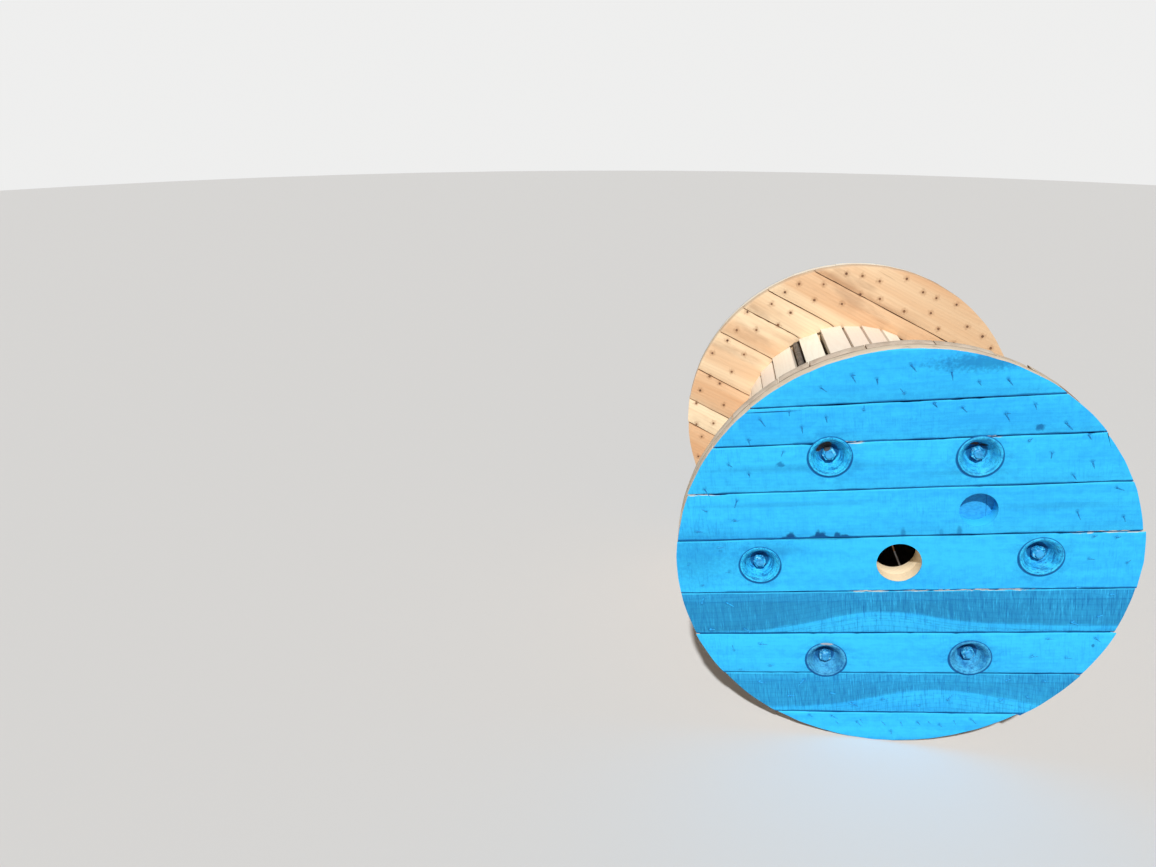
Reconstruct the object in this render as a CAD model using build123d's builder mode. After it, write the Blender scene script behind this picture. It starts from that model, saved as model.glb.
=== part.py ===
from build123d import *
import os
from math import asin, cos, degrees, hypot, radians, sin, sqrt, tan

# Wooden cable drum, in millimetres.
# The origin is the middle of the drum, on the spindle axis. +Y runs along the axis from the front
# flange to the rear one, +X is to the right as seen from the front, and +Z is up.
# Every angle is counted as seen from the front, from +X towards +Z.

# Flanges: each is two plies of sawn boards, laid across each other
flange_diameter = 900
ply_thickness = 30
board_gap = 2
narrowest_board = 60

# Barrel between the flanges
traverse = 740
barrel_inner_diameter = 518
stave_thickness = 26
staves_per_rod = 5
stave_gap = 1.5
groove_depth = 10
groove_clearance = 1.5

# Holes
spindle_hole_diameter = 88
drive_hole_diameter = 72
drive_hole_offset = 185
front_drive_angle = 44.5
rear_drive_angle = 164.5

# Tie rods, which clamp the flanges on the barrel: the angle of each and its distance from the axis.
# They were bored by eye, so they stand a little unevenly about the barrel.
rod_places = ((8.1, 266.5), (64.5, 269), (125.6, 275.5), (186, 276.5), (244.6, 276), (308.8, 272.5))
rod_diameter = 16
rod_hole_diameter = 18
rod_gap = 20
rod_chamfer = 1.5

# Dished washers and nuts, let into the outer plies
washer_diameter = 86
washer_plate = 2.5
washer_bend = 4
washer_recess_diameter = 80
washer_floor_clearance = 3
nut_width = 24
nut_height = 13
thread_clearance = 0.2
rod_past_nut = 4.5

# Board widths of each ply, in the order in which they are laid out from the board with the spindle
# hole. "grain" is the angle that the boards run at, and "low" is how far the middle board reaches
# past the spindle axis on its lower side. "sides" names the two sides of that board, with the one
# that is a quarter turn up from the grain first, and "widths" has the boards on each side.
plies = {
    "front_outer": dict(grain=6.2, sides=("upper", "lower"), middle=126, low=65.5),
    "front_inner": dict(grain=96.2, sides=("left", "right"), middle=124, low=60),
    "rear_inner": dict(grain=-26.2, sides=("upper", "lower"), middle=127, low=63),
    "rear_outer": dict(grain=63.8, sides=("left", "right"), middle=122, low=60),
}
widths = {
    "front_outer": ((106, 102, 79, 110), (103, 101, 104, 92)),
    "front_inner": ((104, 60, 92, 130), (107, 62, 90, 131)),
    "rear_inner": ((89, 74, 104, 122), (90, 67, 118, 114)),
    "rear_outer": ((102, 95, 84, 104), (108, 84, 104, 101)),
}

# Worked out from the sizes above
rim_radius = flange_diameter / 2
barrel_inner_radius = barrel_inner_diameter / 2
barrel_outer_radius = barrel_inner_radius + stave_thickness
barrel_middle_radius = barrel_inner_radius + stave_thickness / 2
rod_gap_angle = 2 * degrees(asin(rod_gap / 2 / barrel_middle_radius))
rod_angles = [angle for angle, _ in rod_places]
stave_pitches = [
    ((after - angle) % 360 - rod_gap_angle) / staves_per_rod
    for angle, after in zip(rod_angles, rod_angles[1:] + rod_angles[:1])
]
stave_widths = [2 * barrel_inner_radius * tan(radians(pitch / 2)) - stave_gap for pitch in stave_pitches]
stave_corner_radius = hypot(barrel_outer_radius, max(stave_widths) / 2)
washer_floor_depth = ply_thickness - washer_plate - washer_floor_clearance
inner_face = traverse / 2
joint_face = inner_face + ply_thickness
outer_face = joint_face + ply_thickness
rod_end = outer_face - washer_floor_depth + nut_height + rod_past_nut

os.makedirs("parts", exist_ok=True)
made = []


def keep(piece, name):
    # Labels a finished piece and writes it out
    piece.part.label = name
    export_step(piece.part, f"parts/{name}.step")
    made.append(name)


def facing_front(y, turn=0):
    # Plane across the axis at y, seen from the front, with its X axis turned up from +X
    return Plane(origin=(0, y, 0), x_dir=(cos(radians(turn)), 0, sin(radians(turn))), z_dir=(0, -1, 0))


def seams_outward(start, board_widths):
    # Distances of the seams from the centre, board by board until the rim is covered
    seams = [start]
    while seams[-1] < rim_radius:
        width = board_widths[(len(seams) - 1) % len(board_widths)]
        left = rim_radius - seams[-1]
        seams.append(rim_radius if left - width < narrowest_board else seams[-1] + width)
    return seams


def board_places(name):
    # Name, high edge and low edge of each board of a ply, measured across the grain
    ply = plies[name]
    high_side, low_side = ply["sides"]
    above = seams_outward(ply["middle"] - ply["low"], widths[name][0])
    below = seams_outward(ply["low"], widths[name][1])
    places = [("middle", above[0], -below[0])]
    places += [(f"{high_side}_{n}", above[n], above[n - 1]) for n in range(1, len(above))]
    places += [(f"{low_side}_{n}", -below[n - 1], -below[n]) for n in range(1, len(below))]
    return places


def make_ply(name, back_y, hole_diameter, drive_angle=None, groove_y=None):
    # One ply, whose rear face is at back_y. An outer ply has the drive hole, an inner one the groove.
    grain = plies[name]["grain"]
    for place, high, low in board_places(name):
        top = high - board_gap / 2 if high < rim_radius else rim_radius
        bottom = low + board_gap / 2 if low > -rim_radius else -rim_radius
        with BuildPart() as board:
            with BuildSketch(facing_front(back_y, grain)):
                Circle(rim_radius)
                with Locations((0, (top + bottom) / 2)):
                    Rectangle(flange_diameter, top - bottom, mode=Mode.INTERSECT)
                Circle(spindle_hole_diameter / 2, mode=Mode.SUBTRACT)
                for rod_angle, rod_radius in rod_places:
                    with PolarLocations(rod_radius, 1, rod_angle - grain):
                        Circle(hole_diameter / 2, mode=Mode.SUBTRACT)
                if drive_angle is not None:
                    with PolarLocations(drive_hole_offset, 1, drive_angle - grain):
                        Circle(drive_hole_diameter / 2, mode=Mode.SUBTRACT)
            extrude(amount=ply_thickness)
            if groove_y is not None:
                with BuildSketch(facing_front(groove_y)):
                    Circle(stave_corner_radius + groove_clearance)
                    Circle(barrel_inner_radius - groove_clearance, mode=Mode.SUBTRACT)
                extrude(amount=groove_depth, mode=Mode.SUBTRACT)
        keep(board, f"{name}_board_{place}")


make_ply("front_outer", -joint_face, washer_recess_diameter, drive_angle=front_drive_angle)
make_ply("front_inner", -inner_face, rod_hole_diameter, groove_y=-inner_face)
make_ply("rear_inner", joint_face, rod_hole_diameter, groove_y=inner_face + groove_depth)
make_ply("rear_outer", outer_face, washer_recess_diameter, drive_angle=rear_drive_angle)

# Barrel: the staves between two rods, with their ends let into the grooves of both flanges
for number, (rod_angle, pitch, width) in enumerate(zip(rod_angles, stave_pitches, stave_widths), 1):
    first_stave = rod_angle + (rod_gap_angle + pitch) / 2
    with BuildPart() as sector:
        with BuildSketch(facing_front(inner_face + groove_depth)):
            for step in range(staves_per_rod):
                with PolarLocations(barrel_middle_radius, 1, first_stave + step * pitch):
                    Rectangle(stave_thickness, width)
        extrude(amount=traverse + 2 * groove_depth)
    keep(sector, f"barrel_staves_{number}")

# Tie rods, from just past the front nuts to just past the rear ones
for number, (rod_angle, rod_radius) in enumerate(rod_places, 1):
    with BuildPart() as rod:
        with BuildSketch(facing_front(rod_end)):
            with PolarLocations(rod_radius, 1, rod_angle):
                Circle(rod_diameter / 2)
        extrude(amount=2 * rod_end)
        chamfer(rod.edges().filter_by(GeomType.CIRCLE), rod_chamfer)
    keep(rod, f"tie_rod_{number}")

# Middle line of a washer's plate: the lip lies on the outer ply, and the nut sits on the floor
lip_radius = washer_diameter / 2
mouth_radius = washer_recess_diameter / 2 - washer_bend
floor_radius = nut_width / sqrt(3) + washer_bend
lip_height = washer_plate / 2
floor_depth = washer_floor_depth + washer_plate / 2

for end, outward in (("front", -1), ("rear", 1)):
    with BuildPart() as washers:
        for rod_angle, rod_radius in rod_places:
            rod_x = rod_radius * cos(radians(rod_angle))
            rod_z = rod_radius * sin(radians(rod_angle))
            section = Plane(origin=(rod_x, outward * outer_face, rod_z), x_dir=(1, 0, 0), z_dir=(0, 0, 1))
            with BuildSketch(section):
                with BuildLine():
                    FilletPolyline(
                        (lip_radius, outward * lip_height),
                        (mouth_radius, outward * lip_height),
                        (floor_radius, -outward * floor_depth),
                        (rod_hole_diameter / 2, -outward * floor_depth),
                        radius=washer_bend,
                    )
                trace(line_width=washer_plate)
            revolve(axis=Axis((rod_x, 0, rod_z), (0, 1, 0)))
    keep(washers, f"{end}_cup_washers")

    # Hexagon nuts, each with its inner end on the floor of its washer
    with BuildPart() as nuts:
        with BuildSketch(facing_front(outward * (outer_face - washer_floor_depth))):
            for rod_angle, rod_radius in rod_places:
                with PolarLocations(rod_radius, 1, rod_angle):
                    RegularPolygon(nut_width / 2, 6, major_radius=False)
                    Circle(rod_diameter / 2 + thread_clearance, mode=Mode.SUBTRACT)
        extrude(amount=-outward * nut_height)
    keep(nuts, f"{end}_hex_nuts")

print(len(made), "pieces written")
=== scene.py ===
import math
import random

import bmesh
import bpy
from mathutils import Matrix, Vector, noise


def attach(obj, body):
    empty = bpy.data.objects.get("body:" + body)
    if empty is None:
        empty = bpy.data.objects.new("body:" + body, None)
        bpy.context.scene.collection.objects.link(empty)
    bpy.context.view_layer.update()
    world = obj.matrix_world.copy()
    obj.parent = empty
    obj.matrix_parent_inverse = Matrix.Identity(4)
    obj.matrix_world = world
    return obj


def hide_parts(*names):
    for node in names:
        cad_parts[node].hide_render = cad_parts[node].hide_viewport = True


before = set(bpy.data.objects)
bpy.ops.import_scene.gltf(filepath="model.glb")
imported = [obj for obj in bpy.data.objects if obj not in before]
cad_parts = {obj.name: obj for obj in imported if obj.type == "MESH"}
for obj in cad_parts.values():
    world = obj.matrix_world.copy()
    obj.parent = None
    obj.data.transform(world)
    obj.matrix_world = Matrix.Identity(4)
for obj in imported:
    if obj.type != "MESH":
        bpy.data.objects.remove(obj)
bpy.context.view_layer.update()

scene = bpy.context.scene
scene.view_settings.view_transform = "Standard"

# The drum's own places, in metres. Every angle is counted from +X towards +Z, seen from the front.
drum = {
    "rimRadius": 0.45,
    "outerFace": 0.43,
    "plyThickness": 0.03,
    "barrelMiddle": 0.272,
    # angle of each tie rod and its distance from the axis
    "rods": ((8.1, 0.2665), (64.5, 0.269), (125.6, 0.2755), (186.0, 0.2765), (244.6, 0.276), (308.8, 0.2725)),
    "spindleRadius": 0.044,
    "driveRadius": 0.036,
    "driveOffset": 0.185,
    # angle of each drive hole and the side it is on, -1 at the front
    "driveHoles": ((44.5, -1), (164.5, 1)),
    "wallMargin": 0.002,   # what is this close to a hole belongs to its wall
}
grainAngles = {"front_outer": 6.2, "front_inner": 96.2, "rear_inner": -26.2, "rear_outer": 63.8}


def turned(radius, degrees, y=0.0):
    # a point on a circle round the spindle axis
    return Vector((radius * math.cos(math.radians(degrees)), y, radius * math.sin(math.radians(degrees))))


def rodPlace(number, y=0.0):
    angle, radius = drum["rods"][number]
    return turned(radius, angle, y)


class Signal:
    # an output of a node, to be reckoned with: each sign adds the node for it
    def __init__(self, socket):
        self.socket = socket

    def __add__(self, other):
        return maths("ADD", self, other)

    def __sub__(self, other):
        return maths("SUBTRACT", self, other)

    def __rsub__(self, other):
        return maths("SUBTRACT", other, self)

    def __mul__(self, other):
        return maths("MULTIPLY", self, other)

    def __truediv__(self, other):
        return maths("DIVIDE", self, other)

    def __rtruediv__(self, other):
        return maths("DIVIDE", other, self)

    __radd__ = __add__
    __rmul__ = __mul__


def signalsOf(sockets):
    return {socket.name: Signal(socket) for socket in sockets}


def feed(node, wires):
    # links the signals to a node's inputs, and sets the inputs that are given as plain values
    for name, value in wires.items():
        if isinstance(value, Signal):
            node.id_data.links.new(value.socket, node.inputs[name])
        else:
            node.inputs[name].default_value = value


def addNode(kind, wires, tree=None, **settings):
    # the tree is named only where no signal comes in to tell it
    tree = tree or next(value.socket.id_data for value in wires.values() if isinstance(value, Signal))
    made = tree.nodes.new(kind)
    for name, value in settings.items():
        setattr(made, name, value)
    feed(made, wires)
    return made


def maths(operation, *values):
    return Signal(addNode("ShaderNodeMath", dict(enumerate(values)), operation=operation).outputs[0])


def clamped(value):
    # keeps what a maths node gives between 0 and 1
    value.socket.node.use_clamp = True
    return value


def vectorMaths(operation, *values):
    wires = dict(zip((0, 3 if operation == "SCALE" else 1), values))
    made = addNode("ShaderNodeVectorMath", wires, operation=operation)
    return Signal(made.outputs["Value" if operation in ("LENGTH", "DISTANCE") else "Vector"])


def mixColor(amount, first, second):
    colors = [value if isinstance(value, Signal) else (*value, 1) for value in (first, second)]
    made = addNode("ShaderNodeMix", dict(zip((0, 6, 7), (amount, *colors))), data_type="RGBA")
    return Signal(made.outputs[2])


def overlay(color, colors, *layers):
    # lays stains or paints over a color in turn, each with its name among the colors and its strength
    for name, amount in layers:
        color = mixColor(amount, color, colors[name])
    return color


def softStep(value, low, high):
    # 0 below the low edge, 1 above the high one
    wires = {"Value": value, "From Min": low, "From Max": high}
    return Signal(addNode("ShaderNodeMapRange", wires, interpolation_type="SMOOTHSTEP").outputs[0])


def plainNoise(place, scale, detail=3.0):
    wires = {"Vector": place, "Scale": scale, "Detail": detail}
    return Signal(addNode("ShaderNodeTexNoise", wires).outputs["Fac"])


def noiseAt(place, stretch, detail=3.0, roughness=0.55, output="Fac"):
    wide = vectorMaths("MULTIPLY", place, stretch)
    wires = {"Vector": wide, "Scale": 1.0, "Detail": detail, "Roughness": roughness}
    return Signal(addNode("ShaderNodeTexNoise", wires).outputs[output])


def splitVector(value):
    return [Signal(socket) for socket in addNode("ShaderNodeSeparateXYZ", {"Vector": value}).outputs]


def joinVector(*values):
    return Signal(addNode("ShaderNodeCombineXYZ", dict(enumerate(values))).outputs[0])


def fromAxis(x, z):
    return vectorMaths("LENGTH", joinVector(x, 0.0, z))


def bumpOf(height, strength, distance):
    wires = {"Height": height, "Strength": strength, "Distance": distance}
    return Signal(addNode("ShaderNodeBump", wires).outputs[0])


def startGroup(name, inputs, outputs):
    # the kind of each socket follows from its first value: a number, a place or a color
    group = bpy.data.node_groups.new(name, "ShaderNodeTree")
    for way, sockets in (("INPUT", inputs), ("OUTPUT", outputs)):
        for label, value in sockets.items():
            kind = {3: "Vector", 4: "Color"}[len(value)] if isinstance(value, tuple) else "Float"
            made = group.interface.new_socket(label, in_out=way, socket_type="NodeSocket" + kind)
            made.default_value = value
    return group, signalsOf(group.nodes.new("NodeGroupInput").outputs), group.nodes.new("NodeGroupOutput")


def placeGroup(group, wires):
    return signalsOf(addNode("ShaderNodeGroup", wires, node_tree=group).outputs)


def startMaterial(name):
    material = bpy.data.materials.new(name)
    material.use_nodes = True
    return material, material.node_tree, material.node_tree.nodes["Principled BSDF"]


def finishMaterial(shader, color, roughness, normal, specular):
    feed(shader, {"Base Color": color, "Roughness": roughness, "Normal": normal,
                  "Specular IOR Level": specular})


def attribute(tree, name):
    return Signal(addNode("ShaderNodeAttribute", {}, tree, attribute_name=name).outputs["Vector"])


def placeOnDrum(tree):
    return Signal(addNode("ShaderNodeTexCoord", {}, tree).outputs["Object"])


# Sawn pine: broad soft bands, rings round a heart that lies under the board, streaks and fibres along it
pine, inside, out = startGroup("sawnPine", {
    "Place": (0, 0, 0), "Seed": 0.0, "Tone": 0.5, "Grey": 0.0,
    "Pale": (0.9, 0.71, 0.47, 1), "Warm": (0.68, 0.39, 0.205, 1), "Brown": (0.3, 0.15, 0.08, 1),
}, {"Color": (0, 0, 0, 1), "Height": 0.0, "Streaks": 0.0, "Rings": 0.0})
pineValues = {
    "ringsPerMetre": 120.0,
    "heartDepth": 0.07,
    "greyDark": (0.42, 0.36, 0.3),
    "greyLight": (0.68, 0.61, 0.52),
}
shift = vectorMaths("SCALE", (3.7, 1.3, 2.9), inside["Seed"])
spot = vectorMaths("ADD", inside["Place"], shift)
warp = vectorMaths("SUBTRACT", noiseAt(spot, (1.6, 7, 7), 2, output="Color"), (0.5, 0.5, 0.5))
bent = vectorMaths("ADD", inside["Place"], vectorMaths("MULTIPLY", warp, (0, 0.04, 0.06)))
along, across, depth = splitVector(bent)
heartSide = across - maths("SINE", inside["Seed"] * 37.0) * 0.12
heartDepth = depth + along * 0.05 + pineValues["heartDepth"]
radius = maths("SQRT", maths("POWER", heartSide, 2.0) + maths("POWER", heartDepth, 2.0))
ring = maths("FRACT", radius * pineValues["ringsPerMetre"])
late = softStep(ring, 0.3, 0.9) * (1 - softStep(ring, 0.93, 1.0))
bands = softStep(noiseAt(spot, (0.9, 13, 13), 2, 0.5), 0.38, 0.62)
streaks = softStep(noiseAt(spot, (1.3, 34, 34), 4, 0.6), 0.36, 0.68)
fibres = noiseAt(spot, (14, 700, 700), 2, 0.6)
smudge = softStep(noiseAt(spot, (4.5, 15, 15), 4, 0.6), 0.52, 0.76)
checks = softStep(noiseAt(spot, (9, 190, 190), 3, 0.6), 0.66, 0.76)
toneAmount = clamped(bands * 0.5 + inside["Tone"] - 0.25 + streaks * 0.2 - 0.1)
body = mixColor(toneAmount, inside["Pale"], inside["Warm"])
for amount in (late * 0.07, smudge * 0.45, checks * 0.35, clamped(fibres * 0.24 - 0.09)):
    body = mixColor(amount, body, inside["Brown"])
grey = mixColor(streaks, pineValues["greyDark"], pineValues["greyLight"])
feed(out, {"Color": mixColor(inside["Grey"], body, grey), "Height": fibres * 0.6 + late * 0.3,
           "Streaks": streaks, "Rings": late})

# Marks of a rough saw: short fine strokes across the board, stronger in some places than others
saw, inside, out = startGroup("sawMarks", {"Place": (0, 0, 0), "Seed": 0.0},
                              {"Strokes": 0.0, "Light": 0.0, "Height": 0.0})
along, across, _ = splitVector(inside["Place"])
place = joinVector(across * 0.05 + along, across, inside["Seed"])
lines = noiseAt(place, (380, 30, 5), 3, 0.65)
local = softStep(noiseAt(place, (5, 11, 5), 2, 0.5), 0.3, 0.66)
strength = local * 0.5 + 0.5
light = (1 - softStep(lines, 0.3, 0.46)) * strength
feed(out, {"Strokes": softStep(lines, 0.5, 0.66) * strength, "Light": light,
           "Height": lines * (local * 0.6 + 0.4)})

# One soft or ragged patch, with its centre and half sizes
patch, inside, out = startGroup("patch", {
    "Place": (0, 0, 0), "Centre": (0, 0, 0), "Size": (0.01, 0.01, 0.01),
    "Ragged": 0.3, "Soft": 0.3, "Grit": 120.0,
}, {"Mask": 0.0})
offset = vectorMaths("DIVIDE", vectorMaths("SUBTRACT", inside["Place"], inside["Centre"]), inside["Size"])
grit = plainNoise(inside["Place"], inside["Grit"])
reach = vectorMaths("LENGTH", offset) + (grit - 0.5) * (inside["Ragged"] * 4.0)
feed(out, {"Mask": 1 - softStep(reach, 1 - inside["Soft"], 1 + inside["Soft"])})


def patchMask(place, centre, size, ragged, soft, grit):
    wires = {"Place": place, "Centre": centre, "Size": size, "Ragged": ragged, "Soft": soft, "Grit": grit}
    return placeGroup(patch, wires)["Mask"]


# The nails of a ring stand one to each step of the turn, a little off it: sideways, and in and out
nailRings = {
    "frontOuter": {"count": 44, "radius": 0.411, "spread": 0.012, "phase": 0.7},
    "frontInner": {"count": 35, "radius": 0.352, "spread": 0.012, "phase": 2.1},
    "rearOuter": {"count": 50, "radius": 0.423, "spread": 0.012, "phase": 1.3},
    "rearInner": {"count": 38, "radius": 0.364, "spread": 0.015, "phase": 0.2},
}
nailScatter = {"sideways": 0.17, "sideWave": 1.7, "outWave": 2.3, "outPhase": 3.0}
rings, inside, out = startGroup("nailSpots", {
    "Place": (0, 0, 0), "Count": 40.0, "Radius": 0.42, "Spread": 0.01, "Phase": 0.0, "Size": 0.008,
}, {"Mask": 0.0})
px, _, pz = splitVector(inside["Place"])
step = 2 * math.pi / inside["Count"]
cell = maths("FLOOR", maths("ARCTAN2", pz, px) / step)
wave = maths("SINE", cell * nailScatter["sideWave"] + inside["Phase"])
angle = (cell + (wave * nailScatter["sideways"] + 0.5)) * step
swing = maths("SINE", cell * nailScatter["outWave"] + inside["Phase"] * nailScatter["outPhase"])
far = swing * inside["Spread"] + inside["Radius"]
centre = joinVector(maths("COSINE", angle) * far, 0.0, maths("SINE", angle) * far)
flat = joinVector(px, 0.0, pz)
away = vectorMaths("DISTANCE", flat, centre) / inside["Size"] + (plainNoise(flat, 160.0, 2.0) * 1.6 - 0.8)
feed(out, {"Mask": 1 - softStep(away, 0.25, 1.0)})


def ringPlaces(name):
    # the same nails, for the heads and tips
    ring = nailRings[name]
    step = 360 / ring["count"]
    half = ring["count"] // 2
    for cell in range(-half, ring["count"] - half):
        aside = nailScatter["sideways"] * math.sin(nailScatter["sideWave"] * cell + ring["phase"])
        swing = math.sin(nailScatter["outWave"] * cell + nailScatter["outPhase"] * ring["phase"])
        yield (cell + 0.5 + aside) * step, ring["radius"] + ring["spread"] * swing


def shadeNails(color, place, front, size, amount, shade):
    # a spot round each nail of the flange that a board belongs to
    for name, ring in nailRings.items():
        side = front if name.startswith("front") else 1 - front
        wires = {"Place": place, "Size": size} | {label.capitalize(): value for label, value in ring.items()}
        color = mixColor(placeGroup(rings, wires)["Mask"] * side * amount, color, shade)
    return color


# Painted shade round the lips of the washers, where they cast shadow on the boards, most of it below them
lips, inside, out = startGroup("lipShade", {"Place": (0, 0, 0)}, {"Mask": 0.0, "Near": 0.0})
px, _, pz = splitVector(inside["Place"])
flat = joinVector(px, 0.0, pz)
nearest, below = 1.0, 0.0
for number in range(len(drum["rods"])):
    centre = rodPlace(number)
    away = vectorMaths("DISTANCE", flat, tuple(centre))
    nearest = maths("MINIMUM", nearest, away)
    below = below + maths("LESS_THAN", away, 0.09) * (centre.z - pz)
width = softStep(below, -0.03, 0.04) * 0.0018 + (plainNoise(flat, 60.0) * 0.0016 + 0.0426)
line = 1 - softStep(nearest - width, -0.0006, 0.0008)
feed(out, {"Mask": line * (softStep(below, -0.045, 0.01) * 0.6 + 0.4),
           "Near": 1 - softStep(nearest, 0.046, 0.075)})
print("shared effects made")

paintColors = {
    "bright": (0.036, 0.5, 0.885),
    "mid": (0.024, 0.37, 0.79),
    "teal": (0.018, 0.21, 0.42),
    "dark": (0.009, 0.14, 0.36),
    # painted shade in the seams and recesses and under the washer lips
    "crevice": (0.005, 0.1, 0.32),
    # painted shade beside the seams
    "seam": (0.005, 0.1, 0.3),
    # light also stands for painted highlight on board edges and painted light in the drive holes
    "light": (0.05, 0.6, 0.95),
    "scratch": (0.045, 0.5, 0.88),
    "stain": (0.005, 0.075, 0.23),
    # painted shade on the upper wall of a drive hole
    "holeTop": (0.008, 0.17, 0.42),
    "holeFloor": (0.035, 0.4, 0.75),
    "holeFloorDark": (0.02, 0.27, 0.58),
}
woodColors = {
    "bore": (0.9, 0.78, 0.56),
    "joint": (0.12, 0.09, 0.07),
    "worn": (0.72, 0.66, 0.54),
    "rim": (0.93, 0.87, 0.76),
    "rimDirt": (0.24, 0.17, 0.12),
    # painted shade on the rear inner face
    "wash": (0.52, 0.32, 0.17),
    "nailSpot": (0.36, 0.18, 0.09),
    # painted shade beside the seams
    "seam": (0.3, 0.15, 0.07),
}
# marks seen on the front flange: middle and half sizes along and across its boards, strength, raggedness and
# softness. Those that are cut end at the seam under them.
stainSeam = 0.0605
usualMark = {"amount": 0.95, "soft": 0.3, "cut": False}
frontMarks = {
    "sprayed": {"at": (0.15, 0.418), "size": (0.09, 0.015), "amount": 0.62, "ragged": 0.55, "soft": 0.6},
    "darkSpot": {"at": (0.243, 0.284), "size": (0.0085, 0.006), "amount": 0.89, "ragged": 0.35, "soft": 0.35},
    "upperStreak": {"at": (-0.19, 0.219), "size": (0.16, 0.008), "amount": 0.3, "ragged": 0.25, "soft": 0.8},
    "knot": {"at": (-0.23, 0.228), "size": (0.007, 0.005), "amount": 0.75, "ragged": 0.45, "soft": 0.5},
    "rightStreak": {"at": (0.12, 0.197), "size": (0.07, 0.006), "amount": 0.3, "ragged": 0.2, "soft": 0.9},
    "lowStreak": {"at": (-0.22, 0.139), "size": (0.17, 0.005), "amount": 0.28, "ragged": 0.2, "soft": 0.9},
    "farStreak": {"at": (0.3, 0.12), "size": (0.1, 0.007), "amount": 0.25, "ragged": 0.2, "soft": 0.9},
    "stainLeft": {"at": (-0.213, 0.061), "size": (0.009, 0.014), "ragged": 0.17, "cut": True},
    "stainLeftFoot": {"at": (-0.216, 0.061), "size": (0.018, 0.006), "ragged": 0.15, "cut": True},
    "stainTall": {"at": (-0.159, 0.061), "size": (0.006, 0.017), "ragged": 0.15, "cut": True},
    "stainTallRight": {"at": (-0.15, 0.061), "size": (0.007, 0.014), "ragged": 0.17, "cut": True},
    "stainTallFoot": {"at": (-0.157, 0.061), "size": (0.02, 0.007), "ragged": 0.15, "cut": True},
    "stainRight": {"at": (-0.121, 0.061), "size": (0.007, 0.012), "amount": 0.9, "ragged": 0.17, "cut": True},
    "stainLast": {"at": (-0.107, 0.061), "size": (0.011, 0.007), "amount": 0.9, "ragged": 0.17, "cut": True},
    "stainFoot": {"at": (-0.15, 0.0605), "size": (0.085, 0.0036), "ragged": 0.1},
    "dot": {"at": (0.38, -0.2), "size": (0.003, 0.004), "amount": 0.8, "ragged": 0.2, "soft": 0.4},
    "washerShade": {"at": (-0.245, 0.035), "size": (0.05, 0.012), "amount": 0.3, "ragged": 0.3, "soft": 0.8},
    "leftEnd": {"at": (-0.41, 0.02), "size": (0.07, 0.05), "amount": 0.35, "ragged": 0.5, "soft": 0.9},
    "dashLeft": {"at": (0.006, 0.068), "size": (0.0045, 0.01), "amount": 0.6, "ragged": 0.2, "soft": 0.5},
    "dashMiddle": {"at": (0.078, 0.067), "size": (0.004, 0.008), "amount": 0.35, "ragged": 0.2, "soft": 0.5},
    "dashRight": {"at": (0.112, 0.069), "size": (0.0045, 0.011), "amount": 0.6, "ragged": 0.2, "soft": 0.5},
    "crackEnd": {"at": (-0.245, 0.3395), "size": (0.05, 0.0012), "ragged": 0.1},
}
# edges of the front boards where bare wood shows: place along and across them, and half length
bareEdges = (
    (-0.095, 0.2685, 0.022), (0.16, 0.2685, 0.016), (-0.42, 0.1665, 0.06), (0.39, 0.0605, 0.07),
    (0.13, -0.0655, 0.12), (-0.06, -0.0655, 0.035),
)
paintValues = {
    # from and to where a board's face turns into its rim end: radius, and depth under the face
    "rim": (0.4436, 0.4446),
    "faceEdge": (0.0007, 0.0013),
    # dark heart of a board
    "heartLength": 0.175,
    "bandStrength": 0.76,
    "ripples": 520.0,
    "topLineDepth": 0.0225,
    # how far the paint reaches down an edge, and how much less on the rim, in the bore and on the rear rim
    "reach": 0.0098,
    "rimLess": 0.011,
    "rearRimLess": 0.004,
    "nailSpot": 0.0062,
    "specular": 0.1,
}


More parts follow.
